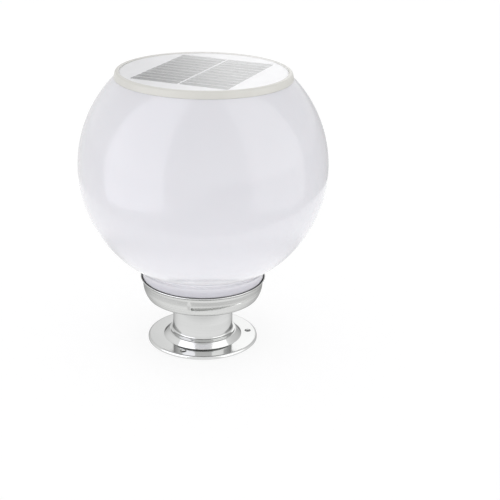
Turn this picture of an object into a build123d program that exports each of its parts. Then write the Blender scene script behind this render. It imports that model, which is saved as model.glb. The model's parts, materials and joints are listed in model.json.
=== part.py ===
from build123d import *
from math import asin, cos, pi, radians, sin, sqrt, tan
import os

# Solar fence light: an opal globe with a solar cap, twist-locked into a steel collar on a stem and flange.
# The origin is the centre of the face that it rests on. +Z is up. +X runs along the solar panel's short side.
# All lengths are in millimetres and all angles in degrees.

# Driving dimensions of the globe
GLOBE_R = 100.0
GLOBE_Z = 152.0
GLOBE_WALL = 2.5
NECK_R = 50.2
NECK_BORE_R = 42.0
NECK_END_Z = 41.9
SHOULDER_Z = 57.2
NECK_BLEND_R = 9.6

# Driving dimensions of the solar cap
RIM_Z = 223.5
RIM_OPENING_R = 63.5
LEDGE = 2.5
CAP_TOP_Z = 229.1
CAP_R = 70.1
DISC_R = 66.0
PANEL_X = 80.0
PANEL_Y = 94.0
CELL_ROWS = 11
COLUMN_GAP = 1.6
ROW_GAP = 0.7
CELL_THICK = 0.3

PANEL_Z = RIM_Z + 2.5
PANEL_BOARD = 1.2

# Driving dimensions of the base
GASKET_THICK = 1.8
FLANGE_R = 46.0
FLANGE_SHEET = 1.2
PLATEAU_R = 28.0
PLATEAU_Z = 7.5
SCREW_CIRCLE_R = 38.5
SCREW_HOLE_R = 2.6
STEM_R = 25.0
STEM_SHEET = 1.2
COLLAR_BOTTOM_Z = 39.6
COLLAR_R = 49.8
COLLAR_SHEET = 0.8
COLLAR_KNEE_Z = 51.5
COLLAR_CURVE_R = 20.5
LIP_Z = 56.9
LIP_REACH = 2.2
BOLT_R = 4.0
BOLT_END_Z = 48.6

# Driving dimensions of the twist lock
LUG_COUNT = 3
LUG_START = -76.0
LUG_SPAN = 48.0
LUG_DEPTH = 3.0
THREAD_LEAD = 14.4
RIB_SPAN = 44.0

# Driving dimensions of the light engine in the neck
PLATE_Z = 52.0
PLATE_THICK = 3.0
PLATE_R = 41.6
BATTERY_R = 9.2
BATTERY_LONG = 65.0
BATTERY_Z = 62.7
BOX_TOP_Z = 76.0
BOSS_R = 38.0
SWITCH_AT = (-19.0, -24.0)
BUTTON_TOP_Z = 54.0
BUTTON_TRAVEL = 2.0
ENGINE_SCREW_ANGLES = (30, 150, 270)
BOARD_Z = 58.0
BOARD_THICK = 1.6
BOARD_Y = 23.0

# Small fits
SNUG = 0.05
RUNNING = 0.1

# Wires: the panel pair runs up the globe's wall at one angle
WIRE_R = 0.7
PAIR_GAP = 1.0
WIRE_ANGLE = 115.7
WIRE_RUN_R = 92.2
WIRE_RUN_HALF = 17.9
WIRE_RUN_TILT = 20.0


def lathe(*outline):
    """Solid of revolution about Z from a closed outline of (radius, height) points."""
    return revolve(Plane.XZ * make_face(Polyline(*outline, close=True)), Axis.Z)


def ring(inner_r, outer_r, low, high):
    """Flat ring about Z."""
    return lathe((inner_r, low), (outer_r, low), (outer_r, high), (inner_r, high))


def disc(radius, low, high, at=(0, 0)):
    """Upright cylinder between two heights."""
    return Pos(at[0], at[1], (low + high) / 2) * Cylinder(radius, high - low)


def block(size_x, size_y, low, high, at=(0, 0)):
    """Upright box between two heights."""
    return Pos(at[0], at[1], (low + high) / 2) * Box(size_x, size_y, high - low)


def torus(centre_r, section_r, height, at=(0, 0)):
    """Round rubber ring."""
    return Pos(at[0], at[1], height) * Torus(centre_r, section_r)


def around(shape, count, start=0.0):
    """Copies of a shape, evenly spaced about Z."""
    return [Rot(0, 0, start + 360.0 * i / count) * shape for i in range(count)]


def polar(radius, angle):
    """Point in plan at a radius and an angle."""
    return (radius * cos(radians(angle)), radius * sin(radians(angle)))


def radial_plane(angle):
    """Upright plane through the Z axis: its x is the radius and its y the height."""
    return Plane(
        origin=(0, 0, 0),
        x_dir=(cos(radians(angle)), sin(radians(angle)), 0),
        z_dir=(sin(radians(angle)), -cos(radians(angle)), 0),
    )


def sheet_solid(path, thickness):
    """Solid of revolution of a metal sheet whose middle line is a path of radius and height."""
    return revolve(Plane.XZ * trace(path, thickness), Axis.Z)


def screw(head_r, head_high, shank_r, shank_long, at, top):
    """Pan-head screw driven upwards: its head hangs below the height top and its shank is above it."""
    head = disc(head_r, top - head_high, top, at)
    cross = block(head_r, 0.6, top - head_high, top - head_high * 0.4, at)
    cross += block(0.6, head_r, top - head_high, top - head_high * 0.4, at)
    return head - cross + disc(shank_r, top, top + shank_long, at)


def screw_down(head_r, head_high, shank_r, shank_long, at, seat):
    """Pan-head screw driven downwards: its head stands on the height seat."""
    head = disc(head_r, seat, seat + head_high, at)
    cross = block(head_r, 0.6, seat + head_high * 0.4, seat + head_high, at)
    cross += block(0.6, head_r, seat + head_high * 0.4, seat + head_high, at)
    return head - cross + disc(shank_r, seat - shank_long, seat, at)


# Base: gasket, flange, stem and collar


def mount_gasket():
    """Foam gasket between the flange and the post."""
    holes = around(disc(SCREW_HOLE_R + 0.4, 0, GASKET_THICK, (SCREW_CIRCLE_R, 0)), 3, 30)
    return ring(9, FLANGE_R - 1.7, 0, GASKET_THICK) - holes


def base_flange():
    """Spun steel flange: flat land with three screw holes, turned-down rim, raised plateau for the stem."""
    half = FLANGE_SHEET / 2
    land = GASKET_THICK + half
    path = FilletPolyline(
        (FLANGE_R - half, 0.5),
        (FLANGE_R - half, land),
        (PLATEAU_R + 4.5, land),
        (PLATEAU_R, PLATEAU_Z - half),
        (BOLT_R + 0.25, PLATEAU_Z - half),
        radius=1.1,
    )
    holes = around(disc(SCREW_HOLE_R, 0, 8, (SCREW_CIRCLE_R, 0)), 3, 30)
    return sheet_solid(path, FLANGE_SHEET) - holes


def stem_tube():
    """Drawn steel tube with an out-turned foot and a closed top that the bolt passes through."""
    half = STEM_SHEET / 2
    path = FilletPolyline(
        (STEM_R + 2.2, PLATEAU_Z + half),
        (STEM_R - half, PLATEAU_Z + half),
        (STEM_R - half, COLLAR_BOTTOM_Z - half),
        (BOLT_R + 0.25, COLLAR_BOTTOM_Z - half),
        radius=1.2,
    )
    return sheet_solid(path, STEM_SHEET)


def wall_radius(height):
    """Outer radius of the collar's wall at a height."""
    drop = max(0.0, COLLAR_KNEE_Z - height)
    return COLLAR_R - COLLAR_CURVE_R + sqrt(COLLAR_CURVE_R**2 - drop**2)


def collar_path():
    """Middle line of the collar's sheet: flared lip, straight wall, curved lower wall and flat floor."""
    half = COLLAR_SHEET / 2
    wall = COLLAR_R - half
    flare_low = LIP_Z - 4.2
    flare_r = ((LIP_Z - flare_low) ** 2 + LIP_REACH**2) / (2 * LIP_REACH)
    flare_mid = asin((LIP_Z - flare_low) / flare_r) / 2
    lip = (wall + LIP_REACH, LIP_Z)
    lip_mid = (wall + flare_r * (1 - cos(flare_mid)), flare_low + flare_r * sin(flare_mid))
    curve = COLLAR_CURVE_R - half
    floor = COLLAR_BOTTOM_Z + half
    corner_r = 1.6
    # the corner arc touches the curved wall from inside and the floor from above
    centre_z = floor + corner_r
    centre_r = wall - curve + sqrt((curve - corner_r) ** 2 - (COLLAR_KNEE_Z - centre_z) ** 2)
    slope = asin((COLLAR_KNEE_Z - centre_z) / (curve - corner_r))
    low_wall = (wall - curve + curve * cos(slope), COLLAR_KNEE_Z - curve * sin(slope))
    mid_wall = (wall - curve + curve * cos(slope / 2), COLLAR_KNEE_Z - curve * sin(slope / 2))
    turn = (slope + pi / 2) / 2
    corner_mid = (centre_r + corner_r * cos(turn), centre_z - corner_r * sin(turn))
    path = ThreePointArc(lip, lip_mid, (wall, flare_low))
    path += Line((wall, flare_low), (wall, COLLAR_KNEE_Z))
    path += ThreePointArc((wall, COLLAR_KNEE_Z), mid_wall, low_wall)
    path += ThreePointArc(low_wall, corner_mid, (centre_r, floor))
    path += Line((centre_r, floor), (BOLT_R + 0.25, floor))
    return path


def lug_section(angle, depth, top, bottom, base):
    """Face across a pressed lug: a steep upper flank and a gentle lower one, closed at base outside the wall."""
    reach = (depth + base) / 0.75 - base
    middle = wall_radius((top + bottom) / 2)
    start = (wall_radius(top) + base, top)
    end = (wall_radius(bottom) + base, bottom)
    upper = (middle - reach, top - 0.1 * (top - bottom))
    lower = (middle - reach, top - 0.45 * (top - bottom))
    face = make_face(Bezier(start, upper, lower, end) + Line(end, start))
    return radial_plane(angle) * face


def lug_solid(base, extra):
    """Solid that presses one lug into the collar: deep at its start and running out along the thread."""
    faces = []
    stations = 9
    for i in range(stations):
        share = i / (stations - 1)
        angle = LUG_START + LUG_SPAN * share
        depth = 0.5 + (LUG_DEPTH - 0.5) * (1 - share**1.4) + extra
        top = 49.2 + 0.6 * share + extra
        bottom = 44.7 + 3.6 * share**1.3 - extra
        faces.append(lug_section(angle, depth, top, bottom, base))
    blunt_end = lug_section(LUG_START - 1.6 - extra, 0.3 + extra, 48.6 + extra, 46.6 - extra, base)
    return loft(faces) + loft([blunt_end, faces[0]], ruled=True)


def collar_cup():
    """Pressed steel cup with a flared lip and three helical lugs pressed in from outside."""
    half = COLLAR_SHEET / 2
    cup = sheet_solid(collar_path(), COLLAR_SHEET)
    bumps = around(lug_solid(-half, COLLAR_SHEET), LUG_COUNT)
    dents = around(lug_solid(0.6, 0.0), LUG_COUNT)
    return cup + bumps - dents


def seat_gasket():
    """Rubber ring in the cup that the globe's neck is screwed down on."""
    return ring(41.4, 44.6, COLLAR_BOTTOM_Z + COLLAR_SHEET, NECK_END_Z)


def centre_bolt():
    """Button-head bolt that ties the flange, the stem and the collar together, with a hexagon socket."""
    under = PLATEAU_Z - FLANGE_SHEET
    head = lathe((0, under), (7, under), (7, under - 1.4), (4.6, under - 3.7), (0, under - 3.7))
    socket = Pos(0, 0, under - 3.7) * extrude(RegularPolygon(2.9, 6), 2.2)
    return head + disc(BOLT_R, under, BOLT_END_Z) - socket


def bolt_washer():
    """Flat washer on the cup's floor."""
    low = COLLAR_BOTTOM_Z + COLLAR_SHEET
    return ring(BOLT_R + 0.2, 8.5, low, low + 1.6)


def lock_nut():
    """Thin hexagon lock nut on the washer, with chamfered corners."""
    low = COLLAR_BOTTOM_Z + COLLAR_SHEET + 1.6
    nut = Pos(0, 0, low) * extrude(RegularPolygon(7.5, 6), 5.0)
    crown = lathe((0, low), (7.5, low), (7.5, low + 4.2), (6.3, low + 5.0), (0, low + 5.0))
    return nut & crown - disc(BOLT_R + SNUG, low, low + 5.0)


# Weather seal


def neck_seal_ring():
    """Rubber ring that sits on the neck under its shoulder and closes the collar's flared lip."""
    section_r = 1.4
    return torus(46.6 + section_r, section_r, SHOULDER_Z - section_r)


# Globe


def blend_centre(neck_r, blend_r, sphere_r):
    """Blend arc between an upright neck and the globe: its centre's height, its touch on the globe, its middle."""
    across = neck_r + blend_r
    height = GLOBE_Z - sqrt((sphere_r + blend_r) ** 2 - across**2)
    share = sphere_r / (sphere_r + blend_r)
    touch = (across * share, GLOBE_Z - (GLOBE_Z - height) * share)
    turn = asin((GLOBE_Z - height) / (sphere_r + blend_r))
    middle = pi - turn / 2
    mid = (across + blend_r * cos(middle), height + blend_r * sin(middle))
    return height, touch, mid


def sphere_point(radius, height):
    """Point on a sphere about the globe's centre, at a height."""
    return (sqrt(radius**2 - (height - GLOBE_Z) ** 2), height)


def globe_profile():
    """Outline of the globe's wall: sphere, neck blend, seal seat, spigot and inner ledge at the top."""
    inner_r = GLOBE_R - GLOBE_WALL
    out_z, out_touch, out_mid = blend_centre(NECK_R, NECK_BLEND_R, GLOBE_R)
    in_z, in_touch, in_mid = blend_centre(45.2, 12.0, inner_r)
    ledge_z = RIM_Z - LEDGE
    top_out = sphere_point(GLOBE_R, RIM_Z)
    top_in = sphere_point(inner_r, ledge_z)
    outside = ThreePointArc(top_out, (GLOBE_R, GLOBE_Z), out_touch)
    outside += ThreePointArc(out_touch, out_mid, (NECK_R, out_z))
    outside += Polyline(
        (NECK_R, out_z),
        (NECK_R, SHOULDER_Z),
        (46.55, SHOULDER_Z),
        (46.55, SHOULDER_Z - 3.5),
        (44.8, SHOULDER_Z - 5.5),
        (44.8, NECK_END_Z),
        (NECK_BORE_R, NECK_END_Z),
        (NECK_BORE_R, 55.0),
        (45.2, 58.2),
        (45.2, in_z),
    )
    outside += ThreePointArc((45.2, in_z), in_mid, in_touch)
    outside += ThreePointArc(in_touch, (inner_r, GLOBE_Z), top_in)
    outside += Polyline(top_in, (RIM_OPENING_R, ledge_z), (RIM_OPENING_R, RIM_Z), top_out)
    return outside


def thread_rib():
    """One helical rib on the spigot: it wedges under a lug and follows the thread's lead."""
    faces = []
    stations = 9
    start = LUG_START + (LUG_SPAN - RIB_SPAN) / 2
    for i in range(stations):
        share = i / (stations - 1)
        rise = THREAD_LEAD * RIB_SPAN * share / 360.0
        taper = 0.9 * max(0.0, abs(share - 0.5) - 0.35) / 0.15
        outline = Polyline(
            (44.3, 42.3 + rise),
            (46.0 - taper, 42.4 + rise),
            (46.6 - taper, 43.6 + rise),
            (46.5 - taper, 45.3 + rise),
            (44.3, 46.8 + rise),
            close=True,
        )
        faces.append(radial_plane(start + RIB_SPAN * share) * make_face(outline))
    return loft(faces)


def engine_boss():
    """Moulded boss inside the neck that takes one screw of the light engine."""
    boss = block(11.0, 8.0, 55.0, 62.0, (40.1, 0))
    boss = boss & ring(34.0, 45.6, 55.0, 62.0)
    return boss - disc(1.25, 55.0, 60.5, (BOSS_R, 0))


def globe_shell():
    """Opal globe with its neck, thread ribs and inner bosses, moulded in one piece."""
    shell = revolve(Plane.XZ * make_face(globe_profile()), Axis.Z)
    return shell + around(thread_rib(), LUG_COUNT) + around(engine_boss(), 3, 30)


# Solar cap


def cap_seal():
    """Flat rubber ring between the globe's ledge and the cap's tray."""
    return ring(RIM_OPENING_R + 0.3, DISC_R - 0.2, RIM_Z, RIM_Z + 0.8)


def cap_tray():
    """Tray that carries the panel: a disc, a spigot into the globe with snap hooks, ribs and a wire hole."""
    low = RIM_Z + 0.8
    tray = disc(DISC_R, low, low + 1.7)
    spigot = ring(61.2, 63.2, 217.0, low)
    hook = revolve(
        Plane.XZ * make_face(Polyline((62.8, 217.0), (64.5, 219.4), (64.5, 220.9), (62.8, 220.9), close=True)),
        Axis.Z,
        revolution_arc=14,
    )
    rib = block(122.0, 1.6, 220.5, low)
    wire_hole = disc(2.4, low, low + 1.7, polar(50.0, WIRE_ANGLE))
    return tray + spigot + around(hook, 4, 38) + [rib, Rot(0, 0, 90) * rib] - wire_hole


def cap_ring():
    """Bevelled ring round the panel: near-upright side, rounded top edge and a small inward chamfer."""
    inner = DISC_R + 0.15
    outline = Line((inner, RIM_Z), (CAP_R, RIM_Z))
    outline += Line((CAP_R, RIM_Z), (CAP_R, RIM_Z + 0.8))
    outline += Line((CAP_R, RIM_Z + 0.8), (CAP_R - 0.7, CAP_TOP_Z - 1.9))
    outline += ThreePointArc(
        (CAP_R - 0.7, CAP_TOP_Z - 1.9),
        (CAP_R - 1.35, CAP_TOP_Z - 0.55),
        (CAP_R - 2.6, CAP_TOP_Z),
    )
    outline += Polyline(
        (CAP_R - 2.6, CAP_TOP_Z),
        (inner + 0.75, CAP_TOP_Z),
        (inner, CAP_TOP_Z - 0.6),
        (inner, RIM_Z),
    )
    return revolve(Plane.XZ * make_face(outline), Axis.Z)


def panel_backing():
    """White board under the cells."""
    return disc(DISC_R - 0.5, PANEL_Z, PANEL_Z + PANEL_BOARD)


def cell_column(side):
    """One column of cell strips, side by side on the board."""
    width = (PANEL_X - COLUMN_GAP) / 2
    pitch = (PANEL_Y + ROW_GAP) / CELL_ROWS
    low = PANEL_Z + PANEL_BOARD
    centre_x = side * (width + COLUMN_GAP) / 2
    strips = []
    for row in range(CELL_ROWS):
        centre_y = (row - (CELL_ROWS - 1) / 2) * pitch
        strips.append(block(width, pitch - ROW_GAP, low, low + CELL_THICK, (centre_x, centre_y)))
    return strips


def panel_window():
    """Clear cover over the cells."""
    low = PANEL_Z + PANEL_BOARD + CELL_THICK
    return disc(DISC_R, low, CAP_TOP_Z - 0.5)


# Light engine in the neck


def battery_box():
    """Upturned trough over the battery, moulded on the engine's plate."""
    outside = block(73.0, 23.0, PLATE_Z, BOX_TOP_Z)
    outside = fillet(outside.edges().filter_by(Axis.Z), 2.0)
    pilots = [disc(1.0, BOX_TOP_Z - 2.5, BOX_TOP_Z, (x, 0)) for x in (-22.0, 22.0)]
    return outside - pilots


def engine_plate():
    """Plate that closes the neck: battery box, board posts, seal groove and holes for the screws and the switch."""
    plate = disc(PLATE_R, PLATE_Z, PLATE_Z + PLATE_THICK)
    posts = [disc(1.9, PLATE_Z + PLATE_THICK, BOARD_Z, at) for at in board_screw_places()]
    groove = ring(40.1, PLATE_R + 1, PLATE_Z + 0.5, PLATE_Z + 2.5)
    cavity = block(70.0, 20.0, PLATE_Z, BOX_TOP_Z - 3.5)
    screw_holes = [disc(1.7, PLATE_Z, PLATE_Z + PLATE_THICK, polar(BOSS_R, a)) for a in ENGINE_SCREW_ANGLES]
    switch_hole = disc(6.05, PLATE_Z, PLATE_Z + PLATE_THICK, SWITCH_AT)
    door_pilots = [disc(0.9, PLATE_Z, PLATE_Z + 2.6, at) for at in door_screw_places()]
    return plate + battery_box() + posts - groove - cavity - screw_holes - switch_hole - door_pilots


def door_screw_places():
    """Places of the four battery door screws."""
    return [(x, y) for x in (-28.0, 28.0) for y in (-12.0, 12.0)]


def board_screw_places():
    """Places of the four screws of the controller board."""
    return [(x, BOARD_Y + y) for x in (-17.0, 17.0) for y in (-6.5, 6.5)]


def engine_seal():
    """Round rubber ring in the plate's groove."""
    return torus(41.0, 0.9, PLATE_Z + 1.5)


def engine_screws():
    """Three screws that hold the plate to the bosses in the neck."""
    return [screw(2.9, 1.7, 1.2, 8.0, polar(BOSS_R, a), PLATE_Z) for a in ENGINE_SCREW_ANGLES]


def door_outline(size_x, size_y, low, high):
    """Plate with rounded corners."""
    return fillet(block(size_x, size_y, low, high).edges().filter_by(Axis.Z), 3.0)


def battery_door():
    """Cover over the battery, screwed on from below."""
    holes = [disc(1.15, PLATE_Z - 2.4, PLATE_Z - 0.8, at) for at in door_screw_places()]
    return door_outline(76.0, 29.0, PLATE_Z - 2.4, PLATE_Z - 0.8) - holes


def battery_door_seal():
    """Rubber frame between the door and the plate."""
    holes = [disc(1.3, PLATE_Z - 0.8, PLATE_Z, at) for at in door_screw_places()]
    frame = door_outline(75.0, 28.0, PLATE_Z - 0.8, PLATE_Z)
    return frame - block(70.4, 20.4, PLATE_Z - 0.8, PLATE_Z) - holes


def battery_door_screws():
    """Four small screws in the battery door."""
    return [screw(2.0, 1.3, 0.85, 4.0, at, PLATE_Z - 2.4) for at in door_screw_places()]


def battery_cell():
    """Lithium cell lying across the plate, with a raised positive button and rounded ends."""
    body = Rot(0, 90, 0) * Cylinder(BATTERY_R, BATTERY_LONG - 1.0)
    body = fillet(body.edges().filter_by(GeomType.CIRCLE), 0.8)
    button = Pos(BATTERY_LONG / 2 - 0.25, 0, 0) * (Rot(0, 90, 0) * Cylinder(3.4, 1.5))
    return Pos(0, 0, BATTERY_Z) * (body + button)


def contact_plate():
    """Positive contact: a sprung leaf bent from strip, at the end wall of the battery box."""
    leaf = Pos(34.65, 0, BATTERY_Z) * Box(0.5, 12.0, 12.0)
    pip = Pos(33.85, 0, BATTERY_Z) * (Rot(0, 90, 0) * Cylinder(2.0, 1.1))
    return leaf + pip


def contact_spring():
    """Negative contact: a cone of wire, drawn as its turned outline, on a plate at the other end wall."""
    plate = Pos(-34.65, 0, BATTERY_Z) * Box(0.5, 12.0, 12.0)
    cone = Pos(-33.3, 0, BATTERY_Z) * (Rot(0, 90, 0) * Cone(5.0, 3.0, 2.2))
    hollow = Pos(-32.8, 0, BATTERY_Z) * (Rot(0, 90, 0) * Cylinder(2.0, 1.3))
    return plate + cone - hollow


def controller_board():
    """Charge controller board on four posts."""
    board = block(40.0, 18.0, BOARD_Z, BOARD_Z + BOARD_THICK, (0, BOARD_Y))
    return board - [disc(0.85, BOARD_Z, BOARD_Z + BOARD_THICK, at) for at in board_screw_places()]


def controller_screws():
    """Four screws that hold the controller board to its posts."""
    top = BOARD_Z + BOARD_THICK
    return [screw_down(1.6, 1.1, 0.8, BOARD_THICK, at, top) for at in board_screw_places()]


def controller_parts():
    """Coil, chip, capacitor, small parts and two sockets on the controller board."""
    low = BOARD_Z + BOARD_THICK
    coil = disc(3.6, low, low + 4.2, (2.0, 25.0))
    chip = block(5.0, 6.2, low, low + 1.6, (-6.5, 24.5))
    capacitor = disc(2.5, low, low + 7.0, (11.0, 22.5))
    small = [block(2.0, 1.25, low, low + 0.8, (x, 16.0)) for x in (-9.0, -4.0, 6.0, 11.0)]
    sockets = [block(5.0, 5.0, low, low + 5.0, (-12.6, y)) for y in (28.0, 22.0)]
    return [coil, chip, capacitor, *small, *sockets]


def reflector_plate():
    """Shallow white dish under the LEDs that hides the engine and throws the light up."""
    low = BOX_TOP_Z
    dish = lathe((0, low), (35, low), (41, low + 6), (39.6, low + 6.6), (34.4, low + 1.5), (0, low + 1.5))
    notch = block(11.0, 7.0, low - 1, low + 8, (38.5, 0))
    screw_holes = [disc(1.3, low, low + 1.5, (x, 0)) for x in (-22.0, 22.0)]
    lead_hole = disc(2.4, low, low + 1.5, (4.0, 20.5))
    return dish - Rot(0, 0, WIRE_ANGLE) * notch - screw_holes - lead_hole


def led_board():
    """Round LED board on the reflector."""
    low = BOX_TOP_Z + 1.5
    screw_holes = [disc(1.3, low, low + 1.6, (x, 0)) for x in (-22.0, 22.0)]
    return disc(28.0, low, low + 1.6) - screw_holes


def led_screws():
    """Two screws through the LED board and the reflector into the battery box."""
    return [screw_down(2.2, 1.5, 0.95, 5.2, (x, 0), BOX_TOP_Z + 3.1) for x in (-22.0, 22.0)]


def leds():
    """Surface-mount LEDs in an outer and an inner circle."""
    low = BOX_TOP_Z + 3.1
    package = block(2.8, 3.5, low, low + 1.0)
    outer = [Rot(0, 0, 15 + 30 * i) * (Pos(22.0, 0, 0) * package) for i in range(12)]
    inner = [Rot(0, 0, 90 * i) * (Pos(9.0, 0, 0) * package) for i in range(4)]
    return outer + inner


# Push switch


def switch_body():
    """Threaded switch body through the plate, with a bezel below and terminals above."""
    bezel = disc(8.0, 49.6, 51.2, SWITCH_AT)
    barrel = disc(6.0, 51.2, 60.0, SWITCH_AT)
    block_end = disc(5.2, 60.0, 65.0, SWITCH_AT)
    legs = [block(0.6, 2.0, 65.0, 69.0, (SWITCH_AT[0] + x, SWITCH_AT[1])) for x in (-2.5, 2.5)]
    well = disc(4.6, 49.6, BUTTON_TOP_Z + BUTTON_TRAVEL + 0.4, SWITCH_AT)
    return bezel + barrel + block_end + legs - well


def switch_seal():
    """Rubber ring under the switch bezel."""
    return Pos(SWITCH_AT[0], SWITCH_AT[1], 0) * ring(6.1, 7.7, 51.2, PLATE_Z)


def switch_nut():
    """Hexagon nut that clamps the switch to the plate."""
    low = PLATE_Z + PLATE_THICK
    nut = extrude(RegularPolygon(8.4, 6), 2.5) - Cylinder(6.05, 6.0)
    return Pos(SWITCH_AT[0], SWITCH_AT[1], low) * nut


def switch_button():
    """Button that is pushed up into the switch body, with a rounded tip below."""
    button = disc(4.6 - RUNNING, 46.4, BUTTON_TOP_Z, SWITCH_AT)
    tip = button.edges().filter_by(GeomType.CIRCLE).sort_by(Axis.Z)[0]
    return fillet(tip, 1.4)


# Wires


def bend_radii(points):
    """Radius of the arc at each corner of a route, as large as its two runs allow."""
    radii = []
    for before, corner, after in zip(points, points[1:], points[2:]):
        arriving = Vector(*corner) - Vector(*before)
        leaving = Vector(*after) - Vector(*corner)
        turn = radians(arriving.get_angle(leaving))
        radii.append(0.45 * min(arriving.length, leaving.length) / tan(turn / 2))
    return radii


def wire(points):
    """Round wire along straight runs joined by tangent arcs."""
    path = FilletPolyline(*points, radius=bend_radii(points))
    return sweep(Plane(origin=path @ 0, z_dir=path % 0) * Circle(WIRE_R), path=path)


def panel_wire(side):
    """One wire of the panel pair: from the controller's socket, up the globe's wall, to the solar board."""
    route = [
        (31.0, BOARD_Z + BOARD_THICK + 5.0),
        (31.0, 70.0),
        (38.0, 79.5),
        (59.5, 80.5),
        (80.6, 102.2),
        (WIRE_RUN_R, GLOBE_Z - WIRE_RUN_HALF),
        (WIRE_RUN_R, GLOBE_Z + WIRE_RUN_HALF),
        (80.6, 201.8),
        (64.0, 211.0),
        (50.0, 213.0),
        (50.0, PANEL_Z),
    ]
    points = [(radius, side * PAIR_GAP, height) for radius, height in route]
    return Rot(0, 0, WIRE_ANGLE) * wire(points)


def wire_clip(tilt):
    """Stick-on saddle on the globe's wall, over the middle of a straight run of the panel pair."""
    lean = radians(abs(tilt))
    run_r = WIRE_RUN_R * cos(lean) + WIRE_RUN_HALF * sin(lean)
    saddle = Pos(94.0, 0, 0) * Box(6.6, 7.0, 5.0) & Sphere(GLOBE_R - GLOBE_WALL - SNUG)
    bores = [Pos(run_r, y, 0) * Cylinder(WIRE_R + SNUG, 10.0) for y in (-PAIR_GAP, PAIR_GAP)]
    return Pos(0, 0, GLOBE_Z) * Rot(0, 0, WIRE_ANGLE) * Rot(0, -tilt, 0) * (saddle - bores)


def wire_clips():
    """Three saddles that hold the panel pair."""
    return [wire_clip(tilt) for tilt in (-WIRE_RUN_TILT, 0.0, WIRE_RUN_TILT)]


def battery_leads():
    """Two short leads from the battery box to the controller board."""
    top = BOARD_Z + BOARD_THICK
    positive = [(31.0, 11.5, 65.0), (31.0, 17.0, 65.0), (25.0, 21.5, 65.6), (18.2, 23.0, 65.0), (18.2, 23.0, top)]
    negative = [(-31.0, 11.5, 63.0), (-31.0, 17.0, 63.0), (-26.0, 22.0, 63.6), (-18.4, 25.6, 64.0), (-18.4, 25.6, top)]
    return [wire(positive), wire(negative)]


def led_leads():
    """Two leads from the controller board up through the reflector to the LED board."""
    top = BOARD_Z + BOARD_THICK
    end = BOX_TOP_Z + 1.5
    routes = [
        [(4.0, 17.2, top), (4.0, 17.2, 65.0), (3.0, 20.5, 71.0), (3.0, 20.5, end)],
        [(8.5, 17.6, top), (8.5, 17.6, 65.0), (5.0, 20.5, 71.0), (5.0, 20.5, end)],
    ]
    return [wire(points) for points in routes]


def switch_leads():
    """Two leads from the switch terminals round the end of the battery box to the controller board."""
    top = BOARD_Z + BOARD_THICK
    outer = [
        (-21.5, -24.0, 69.0),
        (-21.5, -24.0, 72.6),
        (-34.0, -24.0, 72.8),
        (-40.6, -10.5, 72.5),
        (-40.6, 10.5, 71.5),
        (-34.0, 21.5, 70.0),
        (-18.4, 22.4, 68.0),
        (-18.4, 22.4, top),
    ]
    inner = [
        (-16.5, -24.0, 69.0),
        (-16.5, -24.0, 71.0),
        (-32.5, -22.0, 70.4),
        (-39.4, -10.0, 70.0),
        (-39.4, 10.0, 69.2),
        (-32.5, 19.5, 67.6),
        (-18.4, 19.8, 65.5),
        (-18.4, 19.8, top),
    ]
    return [wire(outer), wire(inner)]


PARTS = {
    "mount_gasket": mount_gasket,
    "base_flange": base_flange,
    "stem_tube": stem_tube,
    "collar_cup": collar_cup,
    "seat_gasket": seat_gasket,
    "centre_bolt": centre_bolt,
    "bolt_washer": bolt_washer,
    "lock_nut": lock_nut,
    "neck_seal_ring": neck_seal_ring,
    "globe_shell": globe_shell,
    "cap_seal": cap_seal,
    "cap_tray": cap_tray,
    "cap_ring": cap_ring,
    "panel_backing": panel_backing,
    "cell_column_left": lambda: cell_column(-1),
    "cell_column_right": lambda: cell_column(1),
    "panel_window": panel_window,
    "engine_plate": engine_plate,
    "engine_seal": engine_seal,
    "engine_screws": engine_screws,
    "battery_door": battery_door,
    "battery_door_seal": battery_door_seal,
    "battery_door_screws": battery_door_screws,
    "battery_cell": battery_cell,
    "contact_plate": contact_plate,
    "contact_spring": contact_spring,
    "controller_board": controller_board,
    "controller_parts": controller_parts,
    "controller_screws": controller_screws,
    "reflector_plate": reflector_plate,
    "led_board": led_board,
    "led_screws": led_screws,
    "leds": leds,
    "switch_body": switch_body,
    "switch_seal": switch_seal,
    "switch_nut": switch_nut,
    "switch_button": switch_button,
    "panel_wire_red": lambda: panel_wire(1),
    "panel_wire_black": lambda: panel_wire(-1),
    "wire_clips": wire_clips,
    "battery_leads": battery_leads,
    "led_leads": led_leads,
    "switch_leads": switch_leads,
}


def write_parts():
    """Write one STEP file for each sub-part."""
    os.makedirs("parts", exist_ok=True)
    for name, make in PARTS.items():
        shape = make()
        if isinstance(shape, (list, tuple)):
            shape = Compound(children=[Part(piece.wrapped) for piece in shape])
        export_step(shape, f"parts/{name}.step")


write_parts()
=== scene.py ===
import json
from math import asin, atan2, cos, degrees, pi, radians, sin, sqrt

import bmesh
import bpy
import numpy as np
from mathutils import Matrix, Quaternion, Vector


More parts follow.
